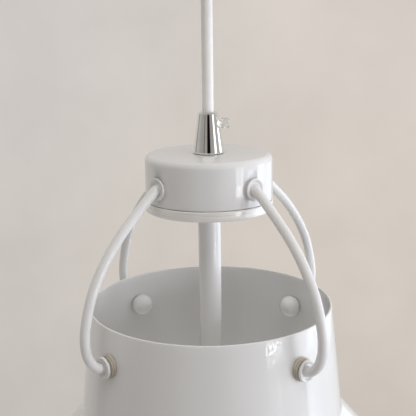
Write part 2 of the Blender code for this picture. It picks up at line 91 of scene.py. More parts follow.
# Cap, base plate and stem
CAP_RADIUS = 0.0380
CAP_TOP = 0.0925
CAP_BOTTOM = 0.0653
BASE_RADIUS = 0.0384
BASE_TOP = 0.0650
BASE_BOTTOM = 0.0590
STEM_RADIUS = 0.00685
STEM_BOTTOM = -0.046

# Arms; the route is (distance from the axis, height), and faces and centres are distances
ARM_AZIMUTHS = [math.radians(turn) for turn in (45, 135, 225, 315)]
ARM_RADIUS = 0.0029
ARM_HOLE = 0.0032
ARM_TOP = 0.0760
ARM_FOOT = -0.0207
ARM_ROUTE = [
    (0.0305, 0.0760), (0.0350, 0.0760), (0.0395, 0.0759), (0.0445, 0.0722),
    (0.0535, 0.0646), (0.0665, 0.0525), (0.0777, 0.0386), (0.0862, 0.0232),
    (0.0913, 0.0060), (0.0921, -0.0045), (0.0906, -0.0122), (0.0872, -0.0177),
    (0.0824, -0.0207), (0.0760, -0.0207), (0.0700, -0.0207),
]
FLANGE_RADIUS = 0.0065
SPACER_RADIUS = 0.0069
SPACER_FACE = 0.0791
SPACER_LENGTH = 0.0041
BALL_RADIUS = 0.0069
BALL_CENTRE = 0.0708
BALL_FLAT = 0.0744

# Spun sheet of the shade, cap and rose; a heading is an angle below the horizontal
SHEET = 0.0012
NECK_RADIUS = 0.0744
NECK_LENGTH = 0.066
NECK_HEADING = math.atan2(1.0, 0.1054)
SHOULDER_HEADING = math.radians(50)
SHOULDER_RADIUS = 0.115
BODY_HEADING = math.radians(86)
BODY_BOTTOM = -0.213
BEAD_RADIUS = 0.0023

# Bulb; its globe starts that many degrees above its widest circle
BULB_RADIUS = 0.030
BULB_CENTRE = -0.1570
BULB_WALL = 0.0009
BULB_START = 30
BULB_THREAD = 0.0036

# Camera, light and stage
CAMERA_AZIMUTH = math.radians(3.95)
CAMERA_DISTANCE = 0.5111
CAMERA_ABOVE_RIM = 0.1773
CAMERA_DOWN = math.radians(13.05)
CAMERA_ASIDE = math.radians(0.085)
CAMERA_ROLL = math.radians(-0.78)
CAMERA_LENS = 75.3
CAMERA_SENSOR = 36

DAYLIGHT = (0.93, 0.965, 1.0)
PALE_DAYLIGHT = (0.90, 0.95, 1.0)
LAMP_MIDDLE = Vector((0, 0, -0.25))
FLOOR_Z = -2.4
WALL_TOP = 1.6
WALL_RADIUS = 3.2
COVE_RADIUS = 0.9


# Mesh helpers

def finish_mesh(bm, name, sharp_angle=40):
    bmesh.ops.recalc_face_normals(bm, faces=bm.faces)
    mesh = bpy.data.meshes.new(name)
    bm.to_mesh(mesh)
    bm.free()
    mesh.shade_smooth()
    mesh.set_sharp_from_angle(angle=math.radians(sharp_angle))
    return mesh


def rounded(corners, steps=5, closed=True):
    """Round the corners of a profile. Each corner is (radius, height) or (radius, height, fillet)."""
    points = []
    last = len(corners) - 1
    for index, corner in enumerate(corners):
        here = Vector(corner[:2])
        fillet = corner[2] if len(corner) > 2 else 0
        at_end = not closed and index in (0, last)
        if not fillet or at_end:
            points.append(tuple(here))
            continue
        before = (Vector(corners[index - 1][:2]) - here).normalized()
        after = (Vector(corners[(index + 1) % len(corners)][:2]) - here).normalized()
        half = 0.5 * before.angle(after)
        centre = here + (before + after).normalized() * fillet / math.sin(half)
        first = here + before * fillet / math.tan(half) - centre
        final = here + after * fillet / math.tan(half) - centre
        sweep = first.angle_signed(final)
        for step in range(steps + 1):
            turn = -sweep * step / steps
            cos, sin = math.cos(turn), math.sin(turn)
            points.append((centre.x + first.x * cos - first.y * sin,
                           centre.y + first.x * sin + first.y * cos))
    return points


def turned(name, profile, segments=96, closed=True, reach=None, sharp_angle=40):
    """Turn a profile of (radius, height) points about Z.

    A closed profile makes a ring; an open one runs from pole to pole when its ends have radius 0.
    reach(radius, height, angle) may return another radius, for ribs and threads.
    """
    bm = bmesh.new()
    rings = []
    for radius, height in profile:
        if radius == 0:
            rings.append([bm.verts.new((0, 0, height))])
            continue
        ring = []
        for step in range(segments):
            angle = 2 * math.pi * step / segments
            r = reach(radius, height, angle) if reach else radius
            ring.append(bm.verts.new((r * math.cos(angle), r * math.sin(angle), height)))
        rings.append(ring)
    pairs = list(zip(rings, rings[1:]))
    if closed:
        pairs.append((rings[-1], rings[0]))
    for ring, following in pairs:
        count = max(len(ring), len(following))
        for step in range(count):
            after = (step + 1) % count
            corners = [ring[step % len(ring)], ring[after % len(ring)],
                       following[after % len(following)], following[step % len(following)]]
            corners = list(dict.fromkeys(corners))
            if len(corners) > 2:
                bm.faces.new(corners)
    return finish_mesh(bm, name, sharp_angle)


def smooth_route(points, steps):
    """Catmull-Rom points through a route, with each span cut into the same number of steps."""
    route = [Vector(point) for point in points]
    padded = [2 * route[0] - route[1], *route, 2 * route[-1] - route[-2]]
    result = []
    for a, b, c, d in zip(padded, padded[1:], padded[2:], padded[3:]):
        for step in range(steps):
            t = step / steps
            result.append(0.5 * (2 * b + (c - a) * t + (2 * a - 5 * b + 4 * c - d) * t * t
                                 + (3 * b - a - 3 * c + d) * t ** 3))
    result.append(route[-1])
    return result


def bridge(bm, rings):
    """Join rings of equal count with faces, and close both ends."""
    for ring, following in zip(rings, rings[1:]):
        for step in range(len(ring)):
            after = (step + 1) % len(ring)
            bm.faces.new((ring[step], ring[after], following[after], following[step]))
    bm.faces.new(rings[0])
    bm.faces.new(rings[-1])


def planar_wire(name, route, radius, sides):
    """Round wire along a route of (x, z) points in the X-Z plane."""
    bm = bmesh.new()
    rings = []
    count = len(route)
    for index, point in enumerate(route):
        along = (route[min(index + 1, count - 1)] - route[max(index - 1, 0)]).normalized()
        across = Vector((-along.y, along.x))
        size = radius * (0.88 if index in (0, count - 1) else 1)  # the ends are slightly rounded
        ring = []
        for step in range(sides):
            turn = 2 * math.pi * step / sides
            shift = size * math.cos(turn)
            ring.append(bm.verts.new((point.x + across.x * shift, size * math.sin(turn),
                                      point.y + across.y * shift)))
        rings.append(ring)
    bridge(bm, rings)
    return finish_mesh(bm, name, 50)


def linked(name, data):
    """New object in the scene."""
    obj = bpy.data.objects.new(name, data)
    bpy.context.scene.collection.objects.link(obj)
    return obj


def add(name, mesh, look, body, nodes, location=(0, 0, 0), rotation=(0, 0, 0)):
    """Piece that rides on a body, stands for CAD nodes and wears a material."""
    piece = linked(name, mesh)
    piece.location = location
    piece.rotation_euler = rotation
    if not mesh.materials:
        mesh.materials.append(look)
    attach(piece, body)
    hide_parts(*nodes)
    return piece


def drill(piece, radius, near, far, height):
    """Cut a round hole through a wall of the piece at each arm."""
    bm = bmesh.new()
    sides = 32
    for azimuth in ARM_AZIMUTHS:
        outward = Vector((math.cos(azimuth), math.sin(azimuth), 0))
        sideways = Vector((-outward.y, outward.x, 0))
        ends = []
        for distance in (near, far):
            centre = outward * distance + Vector((0, 0, height))
            ends.append([bm.verts.new(centre + radius * (math.cos(turn) * sideways
                                                         + math.sin(turn) * Vector((0, 0, 1))))
                         for turn in (2 * math.pi * step / sides for step in range(sides))])
        bridge(bm, ends)
    tool = linked("drill", finish_mesh(bm, "drill"))
    cut = piece.modifiers.new("drill", "BOOLEAN")
    cut.operation = "DIFFERENCE"
    cut.solver = "EXACT"
    cut.object = tool
    bpy.context.view_layer.update()
    evaluated = piece.evaluated_get(bpy.context.evaluated_depsgraph_get())
    mesh = bpy.data.meshes.new_from_object(evaluated)
    piece.modifiers.clear()
    piece.data = mesh
    bpy.data.objects.remove(tool, do_unlink=True)


# Material helpers

class Shading:
    """A node tree with short calls for the nodes that feed its shader."""

    def __init__(self, owner, shader):
        owner.use_nodes = True
        self.nodes = owner.node_tree.nodes
        self.links = owner.node_tree.links
        self.shader = self.nodes[shader]

    def add(self, kind, **inputs):
        node = self.nodes.new("ShaderNode" + kind)
        for key, value in inputs.items():
            node.inputs[key].default_value = value
        return node

    def link(self, output, socket):
        self.links.new(output, socket)

    def set(self, socket, output):
        self.link(output, self.shader.inputs[socket])

    def coordinates(self, kind="Object"):
        return self.add("TexCoord").outputs[kind]

    def axis(self, letter, kind="Object"):
        node = self.add("SeparateXYZ")
        self.link(self.coordinates(kind), node.inputs["Vector"])
        return node.outputs[letter]

    def noise(self, scale, detail, stretch=None):
        node = self.add("TexNoise", Scale=scale, Detail=detail)
        place = self.coordinates()
        if stretch:
            mapping = self.add("Mapping", Scale=stretch)
            self.link(place, mapping.inputs["Vector"])
            place = mapping.outputs["Vector"]
        self.link(place, node.inputs["Vector"])
        return node.outputs["Fac"]

    def levels(self, value, low, high, to_low=0.0, to_high=1.0):
        node = self.add("MapRange")
        self.link(value, node.inputs["Value"])
        for key, number in (("From Min", low), ("From Max", high),
                            ("To Min", to_low), ("To Max", to_high)):
            node.inputs[key].default_value = number
        return node.outputs["Result"]

    def colours(self, value, *stops):
        node = self.add("ValToRGB")
        ramp = node.color_ramp
        while len(ramp.elements) < len(stops):
            ramp.elements.new(0.5)
        for element, (position, colour) in zip(ramp.elements, stops):
            element.position = position
            element.color = (*colour, 1)
        self.link(value, node.inputs["Fac"])
        return node.outputs["Color"]


class Look(Shading):
    """A Principled material; inputs are its sockets, with underscores for spaces."""

    def __init__(self, name, **inputs):
        self.material = bpy.data.materials.new(name)
        super().__init__(self.material, "Principled BSDF")
        for key, value in inputs.items():
            self.shader.inputs[key.replace("_", " ")].default_value = value

    def relief(self):
        """The woven relief that the sleeve's mesh carries."""
        node = self.add("Attribute")
        node.attribute_name = "relief"
        return node.outputs["Fac"]

    def bump(self, value, strength, distance):
        node = self.add("Bump", Strength=strength, Distance=distance)
        self.link(value, node.inputs["Height"])
        return node.outputs["Normal"]


class Glow(Shading):
    """An emission material."""

    def __init__(self, name, colour=(1, 1, 1), strength=1.0):
        self.material = bpy.data.materials.new(name)
        super().__init__(self.material, "Principled BSDF")
        self.nodes.remove(self.shader)
        self.shader = self.add("Emission", Color=(*colour, 1), Strength=strength)
        self.link(self.shader.outputs["Emission"], self.nodes["Material Output"].inputs["Surface"])


def tones(colour, darker, lighter, end=0.7):
    """Two ramp stops either side of a colour."""
    return [(position, tuple(min(1.0, channel * factor) for channel in colour))
            for position, factor in ((0.3, darker), (end, lighter))]


def enamel(name, colour, roughness):
    """Glossy sprayed enamel: slow tone changes under a clear skin with a faint orange peel."""
    look = Look(name, Coat_Weight=1.0, Coat_Roughness=0.01, Specular_IOR_Level=0.1)
    look.set("Base Color", look.colours(look.noise(14, 2), *tones(colour, 0.99, 1.005)))
    look.set("Roughness", look.levels(look.noise(25, 2), 0.3, 0.75, roughness, roughness + 0.04))
    look.set("Normal", look.bump(look.noise(500, 1), 0.04, 0.00003))
    look.set("Coat Normal", look.bump(look.noise(110, 1), 0.02, 0.00008))
    return look.material


def satin(name, colour):
    """Thin white coat over a turned surface, whose fine lines show through it."""
    look = Look(name, Metallic=0.06, Coat_Weight=0.8, Coat_Roughness=0.2, Specular_IOR_Level=0.8)
    lines = look.noise(1, 3, (30, 30, 2600))
    look.set("Base Color", look.colours(lines, *tones(colour, 0.92, 1.03, 0.65)))
    look.set("Roughness", look.levels(lines, 0.3, 0.7, 0.24, 0.34))
    look.set("Normal", look.bump(lines, 0.35, 0.00006))
    return look.material


def turned_metal(name, colour, roughness, lines, spots):
    """Metal with fine turning lines round its axis and faint smears."""
    look = Look(name, Metallic=1.0)
    look.set("Base Color", look.colours(look.noise(120, 4), *tones(colour, 0.93, 1.04)))
    look.set("Roughness", look.levels(look.noise(300, 5), 0.3, 0.8, roughness, roughness + spots))
    look.set("Normal", look.bump(look.noise(1, 2, (60, 60, 5200)), lines, 0.00004))
    return look.material


def moulded(name, colour, roughness, grain=0.1, scale=900, spread=(0.94, 1.04), **inputs):
    """Moulded plastic, glass or ceramic: slight tone changes and a fine skin."""
    look = Look(name, **inputs)
    look.set("Base Color", look.colours(look.noise(90, 3), *tones(colour, *spread)))
    look.set("Roughness", look.levels(look.noise(240, 4), 0.3, 0.8, roughness, roughness + 0.1))
    look.set("Normal", look.bump(look.noise(scale, 3), grain, 0.00006))
    return look.material


def textile():
    """Braided sleeve: painted shade, near black, in the gaps of the woven relief, with sheen and loose
    fibres.
    """
    look = Look("braided_sleeve", Roughness=0.8, Sheen_Weight=1.0, Sheen_Roughness=0.5)
    # painted shade: the ramp turns the corners between bundles near black, where shade falls in the
    # weave
    look.set("Base Color", look.colours(look.relief(), (0.02, (0.07, 0.05, 0.04)),
                                        (0.18, (0.995, 0.985, 0.97)), (1.0, (1.0, 0.995, 0.99))))
    look.set("Normal", look.bump(look.noise(5200, 2, (1, 1, 0.35)), 0.35, 0.00006))
    return look.material


WHITE = enamel("white_enamel", (0.82, 0.82, 0.82), 0.3)
SATIN_WHITE = satin("satin_white", (0.90, 0.885, 0.86))
CHROME = turned_metal("chrome", (0.95, 0.95, 0.94), 0.03, 0.04, 0.03)
STEEL = turned_metal("zinc_steel", (0.60, 0.60, 0.58), 0.30, 0.2, 0.15)
BRASS = turned_metal("brass", (0.74, 0.58, 0.30), 0.22, 0.15, 0.12)
CLEAR = moulded("clear_nylon", (0.93, 0.94, 0.92), 0.06, 0.15, 700,
                Transmission_Weight=0.92, IOR=1.5)
TAN = moulded("tan_nylon", (0.74, 0.68, 0.58), 0.3, 0.2, 700, Transmission_Weight=0.25, IOR=1.5)
BLACK = moulded("black_resin", (0.022, 0.022, 0.022), 0.25, 0.15)
CERAMIC = moulded("ceramic", (0.80, 0.77, 0.70), 0.22, 0.12, 500, Coat_Weight=0.4)
OPAL = moulded("opal_glass", (0.90, 0.90, 0.87), 0.10, 0.05, 120, (0.985, 1.01), Coat_Weight=0.6)
TEXTILE = textile()
BROWN = moulded("brown_core", (0.16, 0.07, 0.03), 0.4)
BLUE = moulded("blue_core", (0.03, 0.10, 0.40), 0.4)
GREEN = moulded("green_core", (0.10, 0.38, 0.07), 0.4)


# Flex

def braid_height(angle, z):
    """Relief of a plain braid: 0 in the corners between bundles, 1 on their crowns."""
    u = BRAID_BUNDLES * (angle / (2 * math.pi) + z / BRAID_PITCH)
    v = BRAID_BUNDLES * (angle / (2 * math.pi) - z / BRAID_PITCH)
    over = (math.floor(u) + math.floor(v)) % 2 == 0
    top, under = (u % 1, v % 1) if over else (v % 1, u % 1)
    return math.sin(math.pi * top) * math.sin(math.pi * under) ** 0.5


def braided_tube(name, low, high):
    """Upright sleeve whose surface follows the braid, with the relief kept for its material."""
    bm = bmesh.new()
    layer = bm.verts.layers.float.new("relief")
    sides = 132
    rows = int((high - low) / BRAID_ROW)
    rings = []
    for row in range(rows + 1):
        z = low + (high - low) * row / rows
        ring = []
        for step in range(sides):
            angle = 2 * math.pi * step / sides
            relief = braid_height(angle, z)
            r = FLEX_RADIUS - BRAID_DEPTH * (1 - relief)
            vertex = bm.verts.new((r * math.cos(angle), r * math.sin(angle), z))
            vertex[layer] = relief
            ring.append(vertex)
        rings.append(ring)
    bridge(bm, rings)
    return finish_mesh(bm, name, 80)


def add_flex():
    low = RIM_Z + GRIP_MOUTH - FLEX_ENTRY
    high = ROSE_MOUTH + FLEX_ENTRY
    sleeve = add("flex_sleeve", braided_tube("flex_sleeve", low, high), TEXTILE, "flex", ["flex"])
    fittings = frame["record"]["behaviour"]["bodies"]
    on_flex = [NODES[n] for n in fittings["ceiling"] + fittings["rose_screw"]]
    on_flex += [bpy.data.objects[n]
                for n in ("rose_shell", "rose_grip_shell", "rose_grip_screw_moulding")]


# Cord grips

def grip_profile():
    """Hollow cone with a thin foot line and a turned-over mouth."""
    return rounded([
        (TUBE_HOLE, 0), (GRIP_BASE_RADIUS, 0, 0.0003), (GRIP_BASE_RADIUS, 0.0009, 0.0003),
        (GRIP_MOUTH_RADIUS + 0.0001, GRIP_HEIGHT - 0.0011, 0.0004),
        (GRIP_MOUTH_RADIUS - 0.0006, GRIP_HEIGHT - 0.0001, 0.0004),
        (0.0043, GRIP_HEIGHT - 0.0001, 0.0002), (0.0040, GRIP_HEIGHT - 0.0006),
        (0.0040, 0.0115), (TUBE_HOLE, 0.0115),
    ], 4)


def screw_mesh():
    """Thumb screw along Z with a fluted head and a dimple in its end."""
    def flutes(r, z, angle):
        on_head = r > 0.0028 and z > 0.0082
        return r - (0.00022 * (0.5 + 0.5 * math.cos(14 * angle)) if on_head else 0)

    profile = rounded([
        (0, 0.0038), (0.0016, 0.0038, 0.0003), (0.0016, 0.0075, 0.0002), (0.0026, 0.0075, 0.0003),
        (0.00305, 0.0081, 0.0003), (0.00305, 0.0118, 0.0005), (0.0023, 0.0124, 0.0003),
        (0.0016, 0.0121, 0.0002), (0, 0.0117),
    ], 3, closed=False)
    return turned("grip_screw", profile, 112, closed=False, reach=flutes)


def add_grips():
    profile = grip_profile()
    lower = turned("cord_grip_shell", profile, 128)
    upper = turned("rose_grip_shell", [(r, -z) for r, z in profile], 128)
    add("cord_grip_shell", lower, CHROME, "lamp", ["cord_grip"],
        (0, 0, RIM_Z + GRIP_BASE))
    add("rose_grip_shell", upper, CHROME, "ceiling", ["rose_grip"], (0, 0, ROSE_GRIP_BASE))
    screw = screw_mesh()
    for name, body, height in (
        ("cord_grip_screw", "cord_screw", RIM_Z + GRIP_MOUTH - GRIP_SCREW_FROM_MOUTH),
        ("rose_grip_screw", "rose_screw", ROSE_MOUTH + GRIP_SCREW_FROM_MOUTH),
    ):
        add(name + "_moulding", screw, CLEAR, body, [name], (0, 0, height),
            (0, math.pi / 2, 0))


# Cap, base plate and stem

def add_cap():
    cap = rounded([
        (TUBE_HOLE, CAP_TOP), (CAP_RADIUS, CAP_TOP, 0.0038), (CAP_RADIUS, CAP_BOTTOM, 0.0005),
        (CAP_RADIUS - SHEET, CAP_BOTTOM, 0.0003), (CAP_RADIUS - SHEET, CAP_TOP - SHEET, 0.0026),
        (TUBE_HOLE, CAP_TOP - SHEET),
    ], 8)
    piece = add("cap_shell", turned("cap_shell", cap, 192), WHITE, "lamp", ["top_cap"],
                (0, 0, RIM_Z))
    lip = CAP_RADIUS - 0.0017
    lip_top = BASE_TOP + 0.0035
    floor = BASE_BOTTOM + 0.0014
    base = rounded([
        (TUBE_HOLE, BASE_BOTTOM), (BASE_RADIUS, BASE_BOTTOM, 0.0012), (BASE_RADIUS, BASE_TOP, 0.0006),
        (lip, BASE_TOP, 0.0002), (lip, lip_top, 0.0002), (lip - SHEET, lip_top, 0.0002),
        (lip - SHEET, floor), (TUBE_HOLE, floor),
    ], 5)
    add("base_shell", turned("base_shell", base, 192), SATIN_WHITE, "lamp", ["cap_base_plate"],
        (0, 0, RIM_Z))
    stem = rounded([
        (TUBE_HOLE, STEM_BOTTOM), (STEM_RADIUS, STEM_BOTTOM, 0.0003),
        (STEM_RADIUS, BASE_BOTTOM - GAP, 0.0003), (TUBE_HOLE, BASE_BOTTOM - GAP),
    ], 4)
    add("stem_shell", turned("stem_shell", stem, 64), WHITE, "lamp", ["stem_tube"],
        (0, 0, RIM_Z))
    return piece


# Arms and fittings

def neck_reach(height, sideways):
    """Distance along an arm's direction from the axis to just outside the neck's surface."""
    radius = NECK_RADIUS - height / math.tan(NECK_HEADING) + GAP
    return math.sqrt(radius * radius - sideways * sideways)


def spacer_mesh():
    """Spacer along Z whose back follows the neck; local X points down on the lamp."""
    mesh = turned("spacer", rounded([
        (ARM_HOLE, 0), (SPACER_RADIUS, 0), (SPACER_RADIUS, 0.0029, 0.0002),
        (SPACER_RADIUS - 0.0007, 0.0031, 0.0001), (SPACER_RADIUS - 0.0007, 0.0033, 0.0001),
        (SPACER_RADIUS - 0.0001, 0.0034, 0.0002), (SPACER_RADIUS - 0.0002, SPACER_LENGTH, 0.0003),
        (ARM_HOLE, SPACER_LENGTH, 0.0003),
    ], 4), 64)
    start = SPACER_FACE - SPACER_LENGTH
    for vertex in mesh.vertices:
        on_back = vertex.co.z < 0.0001
        if on_back:
            vertex.co.z = neck_reach(ARM_FOOT - vertex.co.x, vertex.co.y) - start
    return mesh


def flange_mesh(name, thickness):
    """Cup washer along Z: undercut back, rounded raised edge, dish, and a collar round the wire."""
    bore = ARM_RADIUS + 0.00002  # tight on the wire
    dish = 0.5 * thickness
    return turned(name, rounded([
        (bore, 0), (FLANGE_RADIUS - 0.0026, 0), (FLANGE_RADIUS - 0.0024, 0.0006, 0.0004),
        (FLANGE_RADIUS, 0.0009, 0.0003), (FLANGE_RADIUS, thickness, 0.0005),
        (FLANGE_RADIUS - 0.0011, thickness - 0.0001, 0.0004), (FLANGE_RADIUS - 0.0021, dish, 0.0008),
        (bore + 0.0006, dish, 0.0006), (bore, dish + 0.0006),
    ], 5), 72)


def add_arms():
    arm = planar_wire("arm", smooth_route(ARM_ROUTE, 10), ARM_RADIUS, 32)
    upper = flange_mesh("upper_flange", 0.0019)
    lower = flange_mesh("lower_flange", 0.0026)
    spacer = spacer_mesh()
    ball_start = math.acos((BALL_FLAT - BALL_CENTRE) / BALL_RADIUS)
    ball = [(BALL_RADIUS * math.sin(turn), BALL_RADIUS * math.cos(turn))
            for turn in (ball_start + (math.pi - ball_start) * step / 28 for step in range(28))]
    bore_end = -0.0019
    ball_profile = [(0, -BALL_RADIUS), *reversed(ball), (ARM_HOLE, BALL_FLAT - BALL_CENTRE),
                    (ARM_HOLE, bore_end), (0, bore_end)]
    ball_nut = turned("ball_nut", ball_profile, 64, closed=False)
    fittings = (
        ("upper_flange", upper, WHITE, CAP_RADIUS + GAP, ARM_TOP, "white_enamel"),
        ("lower_flange", lower, WHITE, SPACER_FACE + GAP, ARM_FOOT, "white_enamel"),
        ("neck_spacer", spacer, TAN, SPACER_FACE - SPACER_LENGTH, ARM_FOOT, "tan_nylon"),
        ("ball_nut", ball_nut, WHITE, BALL_CENTRE, ARM_FOOT, "white_enamel"),
    )
    for number, azimuth in enumerate(ARM_AZIMUTHS, 1):
        outward = Vector((math.cos(azimuth), math.sin(azimuth), 0))
        add(f"arm_wire_{number}", arm, WHITE, "lamp", [f"arm_{number}"],
            (0, 0, RIM_Z), (0, 0, azimuth))
        for name, mesh, look, reach, height, slot in fittings:
            body = f"ball_nut_{number}" if name == "ball_nut" else "lamp"
            add(f"{name}_fine_{number}", mesh, look, body, [f"{name}_{number}"],
                outward * reach + Vector((0, 0, RIM_Z + height)), (0, math.pi / 2, azimuth))


# Shade

def arc(start, heading, end_heading, radius, steps):
    """Points of an arc from start; a heading is the angle below the horizontal."""
    points = []
    r, z = start
    turn = (end_heading - heading) / steps
    stride = 2 * radius * math.sin(abs(turn) / 2)
    for step in range(steps):
        middle = heading + turn * (step + 0.5)
        r += stride * math.cos(middle)
        z -= stride * math.sin(middle)
        points.append((r, z))
    return points


def run_to(start, end, steps):
    """Evenly spaced points from start, left out, to end."""
    return [(start[0] + (end[0] - start[0]) * step / steps,
             start[1] + (end[1] - start[1]) * step / steps) for step in range(1, steps + 1)]


def shade_profile():
    """Neck, shoulder and body outside and inside, a rounded lip on top and a rolled bead below."""
    lip_drop = 0.0003
    top = (NECK_RADIUS, -lip_drop)
    bottom = (NECK_RADIUS + NECK_LENGTH / math.tan(NECK_HEADING), -NECK_LENGTH)
    outside = [top, *run_to(top, bottom, 26)]
    outside += arc(outside[-1], NECK_HEADING, SHOULDER_HEADING, 0.005, 8)
    r, z = outside[-1]
    shoulder_end = (SHOULDER_RADIUS, z - (SHOULDER_RADIUS - r) * math.tan(SHOULDER_HEADING))
    outside += run_to((r, z), shoulder_end, 8)
    outside += arc(outside[-1], SHOULDER_HEADING, BODY_HEADING, 0.026, 10)
    r, z = outside[-1]
    outside += run_to((r, z), (r + (z - BODY_BOTTOM) / math.tan(BODY_HEADING), BODY_BOTTOM), 14)
    inside = []
    for index, point in enumerate(outside):
        before = Vector(outside[max(index - 1, 0)])
        after = Vector(outside[min(index + 1, len(outside) - 1)])
        along = (after - before).normalized()
        inside.append((point[0] + along.y * SHEET, point[1] - along.x * SHEET))
    inside[0] = (NECK_RADIUS - SHEET, -lip_drop)
    inner, outer = (NECK_RADIUS - share * SHEET for share in (0.6, 0.4))
    edge = 0.4 * SHEET
    lip = [(inner - edge * math.cos(turn), lip_drop * (math.sin(turn) - 1))
           for turn in (math.radians(30), math.radians(60))]
    lip += [(outer + edge * math.sin(turn), lip_drop * (math.cos(turn) - 1))
            for turn in (0, math.radians(30), math.radians(60))]
    centre = Vector(outside[-1]) + Vector((BEAD_RADIUS - SHEET, -0.5 * BEAD_RADIUS))
    bead = [(centre.x + BEAD_RADIUS * math.cos(turn), centre.y - BEAD_RADIUS * math.sin(turn))
            for turn in (math.radians(-52 + 12 * step) for step in range(20))]
    return lip + outside + bead + list(reversed(inside))


def add_shade():
    return add("shade_shell", turned("shade_shell", shade_profile(), 288), WHITE, "lamp", ["shade"],
               (0, 0, RIM_Z))


# Ceiling rose, lampholder and bulb

def add_rose():
    cup = rounded([
        (TUBE_HOLE, ROSE_BOTTOM), (ROSE_RADIUS, ROSE_BOTTOM, 0.0038), (ROSE_RADIUS, -GAP, 0.0003),
        (ROSE_RADIUS - SHEET, -GAP, 0.0003), (ROSE_RADIUS - SHEET, ROSE_BOTTOM + SHEET, 0.0026),
        (TUBE_HOLE, ROSE_BOTTOM + SHEET),
    ], 8)
    add("rose_shell", turned("rose_shell", cup, 160), WHITE, "ceiling", ["rose_cup"])


def add_lampholder():
    bore = STEM_RADIUS + GAP

    def ribs(r, z, angle):
        grip = 0.0203 < r < 0.0219 and z < -0.0725
        return r - (0.00035 * (0.5 + 0.5 * math.cos(48 * angle)) if grip else 0)

    cap = rounded([
        (bore, -0.036), (0.0086, -0.036, 0.0006), (0.0086, -0.045, 0.001), (0.0135, -0.0470, 0.004),
        (0.0180, -0.0505, 0.004), (0.0202, -0.0560, 0.003), (0.0202, -0.0660, 0.0004),
        (0.0182, -0.0660), (0.0182, -0.0560), (0.0100, -0.0490), (bore, -0.0480),
    ], 5)
    add("holder_cap_fine", turned("holder_cap_fine", cap, 96), BLACK, "lamp", ["holder_cap"],
        (0, 0, RIM_Z))
    body = rounded([
        (0.0156, -0.0663), (0.0202, -0.0663, 0.0003), (0.0202, -0.0700, 0.0006),
        (0.0215, -0.0715, 0.0006), (0.0215, -0.0735), (0.0215, -0.0950), (0.0215, -0.0970, 0.001),
        (0.0205, -0.0990, 0.0008), (0.0156, -0.0990, 0.0005),
    ], 4)
    add("holder_body_fine", turned("holder_body_fine", body, 384, reach=ribs), BLACK, "lamp",
        ["holder_body"], (0, 0, RIM_Z))


def add_bulb():
    def thread(r, z, angle):
        turns = (z + 0.0990) / BULB_THREAD
        inside_run = -0.0990 < z < -0.0865
        return r - (0.00035 * (1 + math.cos(2 * math.pi * turns - angle)) if inside_run else 0)

    shell = [(0.0126, -0.0850), (0.0129, -0.0848)]
    shell += [(0.0132, -0.0858 - 0.00035 * step) for step in range(45)]
    shell += [(0.0132, -0.1020), (0.0125, -0.1020), (0.0118, -0.0990), (0.0118, -0.0860)]
    add("bulb_cap_fine", turned("bulb_cap_fine", shell, 96, reach=thread), BRASS, "bulb", ["bulb_cap"],
        (0, 0, RIM_Z))

    globe = [(BULB_RADIUS * math.cos(turn), BULB_CENTRE - BULB_RADIUS * math.sin(turn))
             for turn in (math.radians(6 * step - BULB_START) for step in range(20))]
    neck = smooth_route([(0.0130, -0.1023), (0.0134, -0.1050), (0.0150, -0.1100), (0.0185, -0.1190),
                         (0.0235, -0.1300), globe[0]], 5)
    outside = [(point.x, point.y) for point in neck] + globe[1:]
    inside = [(max(r - BULB_WALL, 0.0002), z + (BULB_WALL if z < BULB_CENTRE else 0))
              for r, z in outside]
    bottom = BULB_CENTRE - BULB_RADIUS
    profile = [(0, bottom), *reversed(outside), *inside, (0, bottom + BULB_WALL)]
    add("bulb_glass_fine", turned("bulb_glass_fine", profile, 96, closed=False, sharp_angle=70), OPAL,
        "bulb", ["bulb_glass"], (0, 0, RIM_Z))


def dress_nodes():
    """Give the CAD pieces that stay visible their finished materials."""
    looks = {
        STEEL: ["ceiling_plate", "hat_bracket", "bracket_rivet_left", "bracket_rivet_right", "rose_tube",
                "rose_nut_upper", "rose_nut_lower", "cap_tube", "cap_top_nut", "cap_base_nut",
                "arm_nut_1", "arm_nut_2", "arm_nut_3", "arm_nut_4"],
        BRASS: ["holder_thread", "centre_contact"],
        CERAMIC: ["terminal_block", "holder_insert"],
        BLACK: ["bulb_foot"],
        TEXTILE: ["flex_inner", "flex_upper_tail"],
        BROWN: ["live_core"],
        BLUE: ["neutral_core"],
        GREEN: ["earth_core"],
    }
    for look, names in looks.items():
        for name in names:
            NODES[name].data.materials.clear()
            NODES[name].data.materials.append(look)


# Stage, light and camera

def plaster():
    """Self-lit wall that glows in place of lit plaster, with painted light: paler with height and
    brighter, yellower to the right, softly mottled.
    """
    look = Glow("pale_plaster")
    # painted light: the wall gets paler with height
    tone = look.colours(look.levels(look.axis("Z"), -1.9, -0.3), (0.0, (0.545, 0.510, 0.476)),
                        (0.5, (0.603, 0.566, 0.527)), (1.0, (0.618, 0.588, 0.560)))
    # painted light: brighter and yellower towards the right side
    side_light_tint = look.add("Mix")
    side_light_tint.data_type = "RGBA"
    side_light_tint.blend_type = "MULTIPLY"
    side_light_tint.inputs["B"].default_value = (1.095, 1.055, 1.02, 1)
    look.link(look.levels(look.axis("X"), -0.9, 0.15), side_light_tint.inputs["Factor"])
    look.link(tone, side_light_tint.inputs["A"])
    look.set("Color", side_light_tint.outputs["Result"])
    look.set("Strength", look.levels(look.noise(2.4, 5), 0.0, 1.0, 0.88, 1.12))
    return look.material


